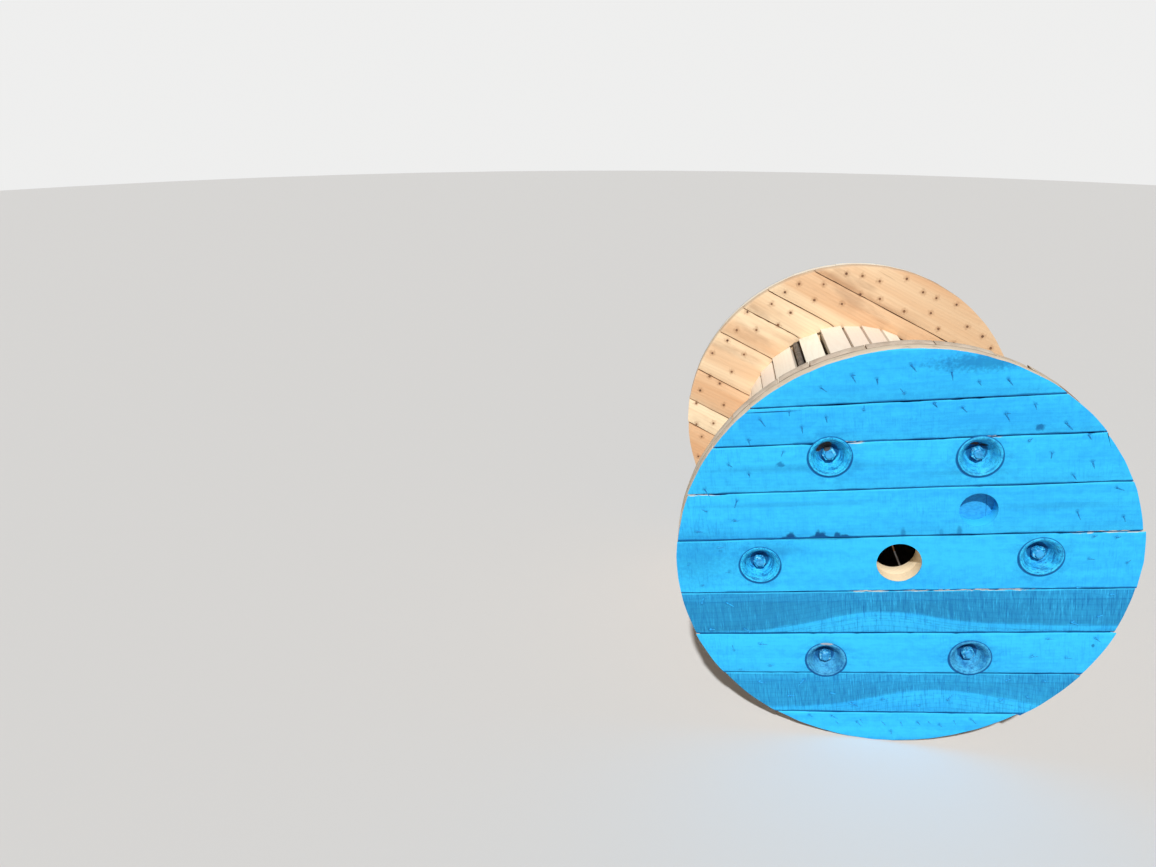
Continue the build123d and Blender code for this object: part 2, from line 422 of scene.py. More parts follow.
def makePaintedBoards():
    material, tree, shader = startMaterial("bluePaintedBoards")
    place, onDrum = attribute(tree, "grainPlace"), placeOnDrum(tree)
    px, py, pz = splitVector(onDrum)
    along, across, _ = splitVector(place)
    low, high, seed = splitVector(attribute(tree, "boardSpan"))
    tone, sawAmount, heart = splitVector(attribute(tree, "boardLook"))
    centre, base, rise = splitVector(attribute(tree, "boardFigure"))
    front = maths("LESS_THAN", py, 0.0)
    rear = 1 - front
    radius = fromAxis(px, pz)
    fromFace = drum["outerFace"] - maths("ABSOLUTE", py)
    onRim = softStep(radius, *paintValues["rim"]) * softStep(fromFace, *paintValues["faceEdge"])
    inBore = maths("LESS_THAN", radius, drum["spindleRadius"] + drum["wallMargin"])
    wood = placeGroup(pine, {"Place": place, "Seed": seed, "Tone": inBore * -0.3 + 0.35})
    marks = placeGroup(saw, {"Place": place, "Seed": seed})

    # the heart of a board takes the paint darker, between a straight line and a curved one
    run = (along - centre) / paintValues["heartLength"]
    hump = maths("POWER", math.e, run * run * -1.0)
    waver = noiseAt(place, (11, 11, 11), 2)
    edge = rise * hump + base + (waver * 0.016 - 0.008)
    level = across - edge - softStep(run, 0.5, 1.7) * softStep(heart, 0.9, 1.0) * 0.013
    fromTop = high - paintValues["topLineDepth"] + (waver * 0.01 - 0.005) - across
    under = softStep(fromTop, -0.0015, 0.002)
    band = softStep(level, -0.003, 0.006) * (under * 0.14 + 0.86) * heart
    figure = softStep(maths("SINE", level * paintValues["ripples"] + waver * 14.0), 0.6, 1.0) * (heart * 0.22)
    lineNear = 1 - softStep(maths("ABSOLUTE", fromTop), 0.0004, 0.0022)
    lowLine = 1 - softStep(maths("ABSOLUTE", level + 0.014), 0.0003, 0.002)
    dotted = softStep(noiseAt(place, (120, 20, 20), 2), 0.4, 0.6)
    contour = clamped((lineNear + lowLine * dotted) * (heart * 0.35) + figure)

    # tones of the paint, with the marks of the saw
    broad = softStep(noiseAt(place, (2.4, 9, 9), 3), 0.35, 0.65)
    mottle = softStep(noiseAt(place, (45, 60, 60), 4, 0.75), 0.3, 0.7)
    rough = softStep(noiseAt(place, (3.5, 12, 3), 3, 0.55), 0.48, 0.62)
    leftEnd = softStep(along * -1.0, 0.24, 0.43)
    strokes = marks["Strokes"] * (sawAmount * 0.6 + 0.08 + maths("MAXIMUM", leftEnd, rough) * 0.35)
    dark = broad * 0.4 + (tone - 0.42) + (wood["Streaks"] * 0.45 - 0.15) + mottle * 0.6 + wood["Rings"] * 0.08
    color = mixColor(clamped(dark + strokes), paintColors["bright"], paintColors["mid"])
    bandAmount = softStep(along, 0.1, 0.4) * -0.12 + (broad * 0.2 + paintValues["bandStrength"])
    sawn = clamped(sawAmount + leftEnd * 0.4)
    color = overlay(color, paintColors, ("teal", band * bandAmount), ("dark", contour),
                    ("dark", marks["Strokes"] * sawn * (band * 0.45 + 0.32)),
                    ("scratch", marks["Light"] * sawn * 0.58))
    # the paint round the nails is broken
    color = shadeNails(color, onDrum, front, paintValues["nailSpot"], 0.35, paintColors["dark"])

    plate = joinVector(along, across, 0.0)
    for mark in frontMarks.values():
        mark = usualMark | mark
        mask = patchMask(plate, (*mark["at"], 0), (*mark["size"], 1), mark["ragged"], mark["soft"], 150.0)
        if mark["cut"]:
            mask = mask * maths("GREATER_THAN", across, stainSeam)
        shade = paintColors["stain" if mark["amount"] >= 0.9 else "dark"]
        color = mixColor(mask * front * mark["amount"], color, shade)

    # painted shade lies beside the seams on one edge of each board, a painted highlight on its other edge,
    # and here and there bare wood shows on their edges
    fromLow, fromHigh = across - low, high - across
    bareNoise = noiseAt(place, (55, 400, 400), 3, 0.6) * 0.011 - 0.0045
    places = rear * softStep(noiseAt(place, (5, 9, 9), 2), 0.52, 0.64)
    for edgeAlong, edgeAcross, length in bareEdges:
        mask = patchMask(plate, (edgeAlong, edgeAcross, 0), (length, 0.006, 1), 0.25, 0.3, 60.0)
        places = maths("MAXIMUM", places, mask * front)
    worn = softStep(bareNoise - maths("MINIMUM", fromLow, fromHigh), 0.0, 0.0007) * places
    seamNoise = softStep(noiseAt(place, (16, 60, 5), 3, 0.6), 0.3, 0.7)
    groove = 1 - softStep(fromLow, 0.0012, seamNoise * 0.0034 + 0.002)
    crest = 1 - softStep(fromHigh, 0.0014, seamNoise * -0.0015 + 0.0042)
    color = overlay(color, paintColors, ("seam", groove * 0.9), ("light", crest * (seamNoise * -0.4 + 0.75)))
    color = overlay(color, woodColors, ("worn", worn * 0.75))
    # painted shade under the washer lips, and darker mottling near the washers
    lip = placeGroup(lips, {"Place": onDrum})
    color = overlay(color, paintColors, ("dark", lip["Near"] * mottle * 0.22), ("crevice", lip["Mask"] * 0.9))

    # paint runs down into the seams, ends raggedly on the rim, and lines the drive holes
    reach = noiseAt(onDrum, (60, 60, 60), 3) * 0.006 + paintValues["reach"]
    reach = reach - (onRim + inBore) * paintValues["rimLess"] - onRim * rear * paintValues["rearRimLess"]
    covered = 1 - softStep(fromFace - reach, -0.0003, 0.0006)
    inHole = inBore
    for angle, side in drum["driveHoles"]:
        middle = turned(drum["driveOffset"], angle, side * (drum["outerFace"] - drum["plyThickness"] / 2))
        fromHole = vectorMaths("MULTIPLY", vectorMaths("SUBTRACT", onDrum, tuple(middle)), (1, 0.5, 1))
        reached = drum["driveRadius"] + drum["wallMargin"]
        drilled = maths("LESS_THAN", vectorMaths("LENGTH", fromHole), reached)
        covered, inHole = maths("MAXIMUM", covered, drilled), maths("MAXIMUM", inHole, drilled)
    # painted shade deeper down in the seams and recesses
    deepShade = softStep(fromFace, 0.0011, 0.0022) * (1 - onRim)
    painted = overlay(color, paintColors, ("crevice", deepShade * (1 - inHole)))
    # painted light on the walls of the drive holes, and painted shade on the upper half of the front one's
    # wall
    holeWall = (inHole - inBore) * softStep(fromFace, 0.001, 0.003)
    holeWallLitAndShaded = mixColor(softStep(pz, 0.128, 0.142), paintColors["light"], paintColors["holeTop"])
    painted = mixColor(holeWall * 0.8, painted, holeWallLitAndShaded)

    # bare wood on the rim and in the bore
    rimWood = placeGroup(pine, {"Place": place, "Seed": seed, "Tone": 0.1, "Grey": front * 0.4 + 0.12})
    rimDirt = softStep(noiseAt(onDrum, (26, 60, 26), 4, 0.7), 0.52, 0.7)
    rimColor = overlay(rimWood["Color"], woodColors, ("rim", front * -0.55 + 0.7),
                       ("rimDirt", rimDirt * front * 0.5))
    jointEdge = noiseAt(onDrum, (7, 7, 7), 2) * -0.006 + drum["plyThickness"]
    joint = onRim * softStep(fromFace, jointEdge, drum["plyThickness"] - 0.0005)
    bare = mixColor(onRim, wood["Color"], rimColor)
    bare = overlay(bare, woodColors, ("joint", joint * 0.7), ("bore", inBore * 0.6))

    height = wood["Height"] * 0.5 + marks["Height"] * sawAmount * 1.6 + broad * 0.4 + mottle * 0.25
    gloss = sawAmount * 0.15 + (wood["Streaks"] * 0.12 + 0.5) + (1 - covered) * 0.25
    color = mixColor(covered, bare, painted)
    finishMaterial(shader, color, gloss, bumpOf(height, 0.6, 0.0009), paintValues["specular"])
    return material


rawValues = {
    "rim": (0.4474, 0.4486),
    # how far a drive hole's paint spreads on the ply under it, and the Y from which it lies
    "holeSpread": 0.003,
    "holeFloor": 0.392,
    "nailSpot": 0.0125,
    "specular": 0.25,
}


def makeRawBoards():
    material, tree, shader = startMaterial("rawBoards")
    place, onDrum = attribute(tree, "grainPlace"), placeOnDrum(tree)
    px, py, pz = splitVector(onDrum)
    across = splitVector(place)[1]
    low, high, seed = splitVector(attribute(tree, "boardSpan"))
    tone, sawAmount, _ = splitVector(attribute(tree, "boardLook"))
    front = maths("LESS_THAN", py, 0.0)
    radius = fromAxis(px, pz)
    onRim = softStep(radius, *rawValues["rim"])
    inBore = maths("LESS_THAN", radius, drum["spindleRadius"] + drum["wallMargin"])
    wood = placeGroup(pine, {"Place": place, "Seed": seed, "Tone": tone + inBore * -0.5,
                             "Grey": onRim * (front * 0.6 + 0.12)})
    marks = placeGroup(saw, {"Place": place, "Seed": seed})
    # painted shade: the rear inner face goes browner towards +X, where it lies in shade
    wash = softStep(px, -0.05, 0.35) * (1 - front)
    color = overlay(wood["Color"], woodColors, ("bore", inBore * 0.6), ("wash", wash * 0.3))
    color = shadeNails(color, onDrum, front, rawValues["nailSpot"], 0.42, woodColors["nailSpot"])
    # painted shade along both edges of each board, beside the seams
    groove = 1 - softStep(maths("MINIMUM", across - low, high - across), 0.0, 0.0025)
    joint = onRim * softStep(maths("ABSOLUTE", py), 0.3978, 0.3992)
    color = overlay(color, woodColors, ("seam", groove * 0.3), ("joint", joint * 0.75))
    # the bottom of each drive hole is painted
    clots = softStep(noiseAt(onDrum, (110, 110, 200), 3, 0.6), 0.3, 0.75)
    paint = mixColor(clots, paintColors["holeFloor"], paintColors["holeFloorDark"])
    for angle, side in drum["driveHoles"]:
        middle = turned(drum["driveOffset"], angle, side * (drum["outerFace"] - drum["plyThickness"]))
        fromHole = vectorMaths("LENGTH", vectorMaths("SUBTRACT", onDrum, tuple(middle)))
        near = maths("LESS_THAN", fromHole, drum["driveRadius"] + rawValues["holeSpread"])
        color = mixColor(near * maths("GREATER_THAN", py * side, rawValues["holeFloor"]), color, paint)
    height = wood["Height"] + marks["Height"] * (sawAmount * 0.8)
    gloss = wood["Streaks"] * 0.1 + 0.66
    finishMaterial(shader, color, gloss, bumpOf(height, 0.5, 0.0008), rawValues["specular"])
    return material


staveColors = {
    "pale": (0.94, 0.89, 0.75),
    "warm": (0.88, 0.76, 0.6),
    "brown": (0.6, 0.46, 0.33),
    "pink": (0.87, 0.7, 0.59),
    "stroke": (0.5, 0.38, 0.27),
    # side and inner are painted shade, at the staves' sides and inside the barrel
    "side": (0.5, 0.43, 0.35),
    "inner": (0.1, 0.075, 0.05),
}


def makeStaveWood():
    material, tree, shader = startMaterial("staveWood")
    place = attribute(tree, "grainPlace")
    _, across, depth = splitVector(place)
    low, high, seed = splitVector(attribute(tree, "boardSpan"))
    tone, pink, _ = splitVector(attribute(tree, "boardLook"))
    wood = placeGroup(pine, {"Place": place, "Seed": seed, "Tone": tone, "Pale": (*staveColors["pale"], 1),
                             "Warm": (*staveColors["warm"], 1), "Brown": (*staveColors["brown"], 1)})
    marks = placeGroup(saw, {"Place": place, "Seed": seed})
    # painted shade: darker along both sides of each stave, and near black on its inner face, where the inside
    # of the barrel lies in shade
    side = 1 - softStep(maths("MINIMUM", across - low, high - across), 0.0002, 0.002)
    color = overlay(wood["Color"], staveColors, ("pink", pink * 0.6), ("stroke", marks["Strokes"] * 0.08),
                    ("side", side * 0.3), ("inner", softStep(depth, 0.0235, 0.0255)))
    height = wood["Height"] + marks["Height"] * 0.8
    finishMaterial(shader, color, wood["Streaks"] * 0.1 + 0.7, bumpOf(height, 0.5, 0.0009), 0.2)
    return material


# bare places on the front washers, the upper ones darkened with painted shade of the dish wall over them:
# number of the rod from 0, middle beside it and half sizes, in mm
bareAndShadedSteel = {
    "upperLeft": {"rod": 2, "at": (-9, 17), "size": (14, 10), "ragged": 0.1, "color": (0.07, 0.067, 0.07)},
    "upperLeftLow": {"rod": 2, "at": (-20, 8), "size": (6, 8), "ragged": 0.15, "color": (0.1, 0.08, 0.08)},
    "upperRight": {"rod": 1, "at": (-7, 17), "size": (9, 3.5), "ragged": 0.2, "color": (0.09, 0.05, 0.045)},
    "upperRightBit": {"rod": 1, "at": (10, 15), "size": (9, 2.6), "ragged": 0.15,
                      "color": (0.012, 0.02, 0.035)},
    "lowerLeft": {"rod": 4, "at": (-4, 41.5), "size": (15, 3.2), "ragged": 0.15, "color": (0.3, 0.33, 0.38)},
}
steelColors = {
    "bright": (0.035, 0.54, 0.9),
    "mid": (0.016, 0.33, 0.7),
    "dull": (0.07, 0.33, 0.58),
    "dullDark": (0.025, 0.14, 0.34),
    "scratch": (0.006, 0.12, 0.34),
    "rubbed": (0.07, 0.62, 0.92),
    "speckle": (0.008, 0.12, 0.3),
    # the two nut colors are worn paint with painted shade and painted glints on the nut tops
    "nutDark": (0.004, 0.1, 0.3),
    "nutLight": (0.3, 0.75, 0.95),
    # wall and foot are painted shade: on the lip's outer edge, and round the foot of the nut
    "wall": (0.004, 0.085, 0.27),
    "ripple": (0.004, 0.1, 0.28),
    "foot": (0.003, 0.06, 0.2),
}
steelValues = {"wallRadius": 0.0407, "rippleRadius": 0.0358, "specular": 0.12}


def makePaintedSteel():
    # paint over pressed steel, rubbed and scratched
    material, tree, shader = startMaterial("bluePaintedSteel")
    place, onDrum = attribute(tree, "localPlace"), placeOnDrum(tree)
    wear, dull, seed = splitVector(attribute(tree, "steelLook"))
    lx, ly, lz = splitVector(place)
    radius = fromAxis(lx, lz)
    turnPlace = joinVector(maths("ARCTAN2", lz, lx) * 0.012, radius, seed)
    moved = vectorMaths("ADD", place, joinVector(seed, 0.0, 0.0))
    scratches = softStep(noiseAt(turnPlace, (110, 420, 1), 3, 0.65), 0.5, 0.64)
    rubbed = softStep(noiseAt(turnPlace, (90, 300, 4), 3, 0.6), 0.54, 0.66)
    patches = softStep(noiseAt(moved, (55, 55, 55), 4, 0.65), 0.42, 0.66)
    speckle = softStep(noiseAt(moved, (300, 300, 300), 3, 0.7), 0.52, 0.62)
    color = mixColor(patches, steelColors["bright"], steelColors["mid"])
    color = overlay(color, steelColors, ("scratch", scratches * wear), ("rubbed", rubbed * 0.5))
    color = mixColor(dull, color, mixColor(patches, steelColors["dull"], steelColors["dullDark"]))
    # full wear marks a nut, whose top is scribbled dark and light: worn paint, with painted shade and painted
    # glints on the thread ends
    onNut = softStep(wear, 0.85, 0.95)
    scribble = noiseAt(moved, (210, 210, 210), 2, 0.5)
    color = overlay(color, steelColors, ("speckle", speckle * (wear * 0.6)),
                    ("nutDark", onNut * (softStep(scribble, 0.52, 0.6) * 0.7)),
                    ("nutLight", onNut * clamped(0.5 - softStep(scribble, 0.38, 0.46))))
    # painted shade lies on the lip's outer edge, thickest below, and round the foot of the nut, and a thin
    # ripple inside the lip is darker
    blotch = noiseAt(moved, (120, 120, 120), 3, 0.6)
    edge = blotch * 0.0018 + (softStep(lz, 0.035, -0.03) * -0.0022 + steelValues["wallRadius"])
    ripple = 1 - softStep(maths("ABSOLUTE", radius - steelValues["rippleRadius"]), 0.0003, 0.0014)
    deepDown = softStep(maths("ABSOLUTE", ly), 0.019, 0.022)
    foot = deepDown * (1 - softStep(blotch * -0.004 + radius, 0.0165, 0.0195))
    color = overlay(color, steelColors, ("wall", softStep(radius - edge, -0.0003, 0.0004) * 0.88),
                    ("ripple", ripple * (softStep(blotch, 0.4, 0.6) * 0.6)), ("foot", foot * 0.85))
    for spot in bareAndShadedSteel.values():
        beside = Vector((spot["at"][0], 0, spot["at"][1])) / 1000
        size = (spot["size"][0] / 1000, 0.04, spot["size"][1] / 1000)
        middle = tuple(rodPlace(spot["rod"], -0.42) + beside)
        mask = patchMask(onDrum, middle, size, spot["ragged"], 0.12, 260.0)
        color = mixColor(mask, color, spot["color"])
    height = scratches * -0.6 + (speckle * 0.5 + patches)
    finishMaterial(shader, color, patches * 0.15 + 0.5, bumpOf(height, 0.55, 0.0006), steelValues["specular"])
    return material


dullColors = {
    "rod": {"dark": (0.07, 0.058, 0.048), "light": (0.12, 0.11, 0.1)},
    "sprayed": {"dark": (0.012, 0.2, 0.46), "light": (0.03, 0.38, 0.75)},
    "nail": {"dark": (0.11, 0.05, 0.025), "light": (0.26, 0.13, 0.06)},
}


def makeDullSteel(name, colors, metal, sprayed=None):
    material, tree, shader = startMaterial(name)
    onDrum = placeOnDrum(tree)
    rust = softStep(noiseAt(onDrum, (90, 60, 90), 4, 0.65), 0.4, 0.65)
    color, metallic = mixColor(rust, colors["light"], colors["dark"]), rust * -metal + metal
    if sprayed:
        # the ends went blue with the flanges
        blue = softStep(maths("ABSOLUTE", splitVector(onDrum)[1]), 0.404, 0.406)
        color = mixColor(blue, color, mixColor(rust, sprayed["light"], sprayed["dark"]))
        metallic = metallic * (1 - blue)
    fine = noiseAt(onDrum, (700, 700, 700), 2)
    feed(shader, {"Base Color": color, "Roughness": rust * 0.3 + 0.45, "Normal": bumpOf(fine, 0.3, 0.0003),
                  "Metallic": metallic})
    return material


# paint on the nail tips: light and dark of the lower tips, then of the higher ones
tipColors = {
    "low": ((0.024, 0.43, 0.81), (0.01, 0.19, 0.48)),
    "high": ((0.016, 0.32, 0.68), (0.006, 0.14, 0.38)),
}


def makeTipPaint():
    material, tree, shader = startMaterial("paintedNailTips")
    onDrum = placeOnDrum(tree)
    clots = softStep(noiseAt(onDrum, (260, 260, 260), 3, 0.65), 0.35, 0.65)
    higher = softStep(splitVector(onDrum)[2], -0.06, 0.12)
    color = mixColor(higher, mixColor(clots, *tipColors["low"]), mixColor(clots, *tipColors["high"]))
    feed(shader, {"Base Color": color, "Roughness": 0.55, "Specular IOR Level": 0.3})
    return material


paintedBoards = makePaintedBoards()
rawBoards = makeRawBoards()
staveWood = makeStaveWood()
paintedSteel = makePaintedSteel()
rodSteel = makeDullSteel("dullRodSteel", dullColors["rod"], 0.1, dullColors["sprayed"])
tipPaint = makeTipPaint()
nailRust = makeDullSteel("rustyNails", dullColors["nail"], 0.2)
print("materials made")


def makePiece(name, bm, material, nodes=(), values=None):
    mesh = bpy.data.meshes.new(name)
    bm.to_mesh(mesh)
    bm.free()
    mesh.materials.append(material)
    for label, vectors in (values or {}).items():
        layer = mesh.attributes.new(label, "FLOAT_VECTOR", "POINT")
        layer.data.foreach_set("vector", [number for vector in vectors for number in vector])
    piece = bpy.data.objects.new(name, mesh)
    scene.collection.objects.link(piece)
    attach(piece, "root")
    if nodes:
        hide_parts(*nodes)
    return piece


def pour(part, bm):
    # adds a finished part to a larger mesh
    carrier = bpy.data.meshes.new("carrier")
    part.to_mesh(carrier)
    part.free()
    bm.from_mesh(carrier)
    bpy.data.meshes.remove(carrier)


def finishShading(bm, sharpAngle=28):
    # round walls are smooth, and corners stay crisp
    for face in bm.faces:
        face.smooth = True
    for edge in bm.edges:
        edge.smooth = edge.is_boundary or edge.calc_face_angle(0) < math.radians(sharpAngle)


def roundEdges(bm, edges, width, segments=2):
    bmesh.ops.bevel(bm, geom=edges, offset=width, offset_type="OFFSET", segments=segments, profile=0.5,
                    affect="EDGES", material=-1, clamp_overlap=True)


def addCone(bm, foot, top, depth, segments, matrix):
    # a round bar along the matrix's Z axis, with the radius of its foot and of its top
    bmesh.ops.create_cone(bm, cap_ends=True, segments=segments, radius1=foot, radius2=top, depth=depth,
                          matrix=matrix)


alongAxis = Matrix.Rotation(math.radians(90), 4, "X")   # turns Z to the spindle axis
noFigure = (0, 0, 0)
boardValues = {
    "slice": (0.009, 0.03),  # steps along and across a board
    "edgeRound": 0.0011,
    "seamWander": 0.0016,
    "chipDepth": 0.0035,
    "rimWander": 0.0009,
    # the outer wall of the staves' groove moves in to the staves, and the face outside it follows
    "grooveWall": 0.2877,
    "grooveClosed": 0.2815,
    "grooveSpread": 0.3,
}
# How far each front board's two ends stand out from the round, and how it took the paint: tone, saw marks and
# dark heart side. "figure" is that heart line's middle, lowest level and rise, and "proud" how far the face
# stands out. Lengths with ends and proud are in mm.
frontBoards = {
    "upper_4": {"ends": (0.5, 0.5), "look": (0.25, 0.12, 0.0), "figure": noFigure, "proud": 0.2},
    "upper_3": {"ends": (-0.9, -0.7), "look": (0.5, 0.15, 0.0), "figure": noFigure, "proud": -0.3},
    "upper_2": {"ends": (-0.1, -3.7), "look": (0.2, 0.15, 0.0), "figure": noFigure, "proud": 0.4},
    "upper_1": {"ends": (-2.4, -2.7), "look": (0.28, 0.15, 0.0), "figure": noFigure, "proud": -0.2},
    "middle": {"ends": (-1.1, 1.6), "look": (0.15, 0.12, 0.0), "figure": noFigure, "proud": 0.5},
    "lower_1": {"ends": (-0.5, -0.6), "look": (0.5, 1.0, 1.0),
                "figure": (-0.03, -0.166, 0.05), "proud": -0.6},
    "lower_2": {"ends": (1.3, 4.3), "look": (0.12, 0.1, 0.0), "figure": noFigure, "proud": 0.3},
    "lower_3": {"ends": (-0.7, 7.0), "look": (0.4, 0.85, 0.85),
                "figure": (0.085, -0.363, 0.05), "proud": -0.4},
    "lower_4": {"ends": (-2.0, -1.4), "look": (0.1, 0.12, 0.0), "figure": noFigure, "proud": 0.1},
}
rearInnerTones = {
    "upper_4": 0.75, "upper_3": 0.55, "upper_2": 0.28, "upper_1": 0.35, "middle": 0.42,
    "lower_1": 0.6, "lower_2": 0.05, "lower_3": 1.0, "lower_4": 0.6,
}


def makeBoard(node, seed):
    ply, place = node.split("_board_")
    chance = random.Random(seed)
    grain = math.radians(grainAngles[ply])
    alongWay = Vector((math.cos(grain), 0, math.sin(grain)))
    acrossWay = Vector((-math.sin(grain), 0, math.cos(grain)))
    outward = -1 if ply.startswith("front") else 1
    outer = ply.endswith("outer")
    values = dict(frontBoards[place]) if ply == "front_outer" else {
        "ends": (chance.uniform(-2, 1), chance.uniform(-2, 1)),
        "look": (chance.uniform(0.1, 0.55), chance.choice((0.1, 0.15, 0.9)), 0.0),
        "figure": (chance.uniform(-0.2, 0.2), 0, 0.045),
        "proud": chance.uniform(-0.5, 0.4),
    }
    if ply == "rear_inner":
        values["look"] = (rearInnerTones[place], 0.3, 0.0)

    bm = bmesh.new()
    bm.from_mesh(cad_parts[node].data)
    bmesh.ops.remove_doubles(bm, verts=bm.verts, dist=1e-6)
    bmesh.ops.dissolve_limit(bm, angle_limit=math.radians(0.5), verts=bm.verts, edges=bm.edges)
    spans = [vert.co.dot(acrossWay) for vert in bm.verts]
    low, high = min(spans), max(spans)
    rim = drum["rimRadius"]
    for way, first, last, step in ((alongWay, -rim, rim, boardValues["slice"][0]),
                                   (acrossWay, low, high, boardValues["slice"][1])):
        count = max(1, round((last - first) / step))
        for number in range(1, count):
            level = first + (last - first) * number / count
            whole = bm.verts[:] + bm.edges[:] + bm.faces[:]
            bmesh.ops.bisect_plane(bm, geom=whole, plane_co=way * level, plane_no=way)
    if ply == "rear_outer" and values["look"][1] > 0.5:
        values["look"] = (values["look"][0], 0.9, 0.9)
        values["figure"] = (values["figure"][0], low + 0.02, 0.04)

    faceLevel = drum["outerFace"] if outer else drum["outerFace"] - 2 * drum["plyThickness"]
    wall, closed, spread = (boardValues[name] for name in ("grooveWall", "grooveClosed", "grooveSpread"))
    for vert in bm.verts:
        co = vert.co
        along, across = co.dot(alongWay), co.dot(acrossWay)
        radius = math.hypot(co.x, co.z)
        shown = abs(abs(co.y) - faceLevel) < 0.0005
        wanted = radius
        if radius > rim - 0.001:
            share = along / (2 * rim) + 0.5
            reach = (values["ends"][0] * (1 - share) + values["ends"][1] * share) / 1000
            reach += boardValues["rimWander"] * noise.noise(Vector((co.x * 30, seed * 9.1, co.z * 30)))
            wanted = rim + reach
        elif not outer and wall - 0.0012 < radius < spread and shown:
            wanted = closed + (radius - wall) * (spread - closed) / (spread - wall)
        elif abs(radius - drum["spindleRadius"]) < 0.0008:
            wanted = drum["spindleRadius"]
        co.x *= wanted / radius
        co.z *= wanted / radius
        if across - low < 1e-4 and low > 0.001 - rim or high - across < 1e-4 and high < rim - 0.001:
            inward = 1 if across - low < 1e-4 else -1
            drift = boardValues["seamWander"] * noise.noise(Vector((along * 12, seed * 5.3, inward)))
            chip = noise.noise(Vector((along * 55, seed * 3.1, inward * 2.0)))
            if ply == "front_inner" and -0.2 < across < -0.13 and co.z > 0:
                drift = -0.0008   # this seam is closed where it shows
            elif shown:
                drift += boardValues["chipDepth"] * max(0.0, chip - 0.25)
            vert.co += acrossWay * (inward * (drift + 0.0001))
        co.x = max(-rim, min(rim, co.x))
        co.z = max(-rim, min(rim, co.z))
        if shown:
            vert.co.y += outward * values["proud"] / 1000 * (1 if outer else -1)
    sharp = [edge for edge in bm.edges if edge.is_manifold and edge.calc_face_angle(0) > math.radians(40)]
    roundEdges(bm, sharp, boardValues["edgeRound"])
    finishShading(bm)
    count = len(bm.verts)
    spots = [vert.co.copy() for vert in bm.verts]
    places = [(co.dot(alongWay), co.dot(acrossWay), drum["outerFace"] - abs(co.y)) for co in spots]
    return makePiece(node.replace("_board", "") + "Wood", bm, paintedBoards if outer else rawBoards,
                     (node,),
                     {"grainPlace": places, "boardSpan": [(low, high, seed * 0.37)] * count,
                      "boardLook": [values["look"]] * count, "boardFigure": [values["figure"]] * count})


boardNodes = sorted(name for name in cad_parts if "_board_" in name)
boards = [makeBoard(name, number) for number, name in enumerate(boardNodes, 1)]
print(len(boards), "boards made,", sum(len(board.data.polygons) for board in boards), "faces")

staveValues = {
    "perRod": 5,
    "length": 0.76,
    "thickness": 0.026,
    "innerRadius": 0.259,
    "rodGap": 4.214,   # degrees left free for a rod
    "gap": 1.5,        # mm between staves
    "endDrift": 1.4,   # mm that the outer two of a sector are set closer to their rods
    "cuts": 24,
    "edgeRound": 0.0008,
}
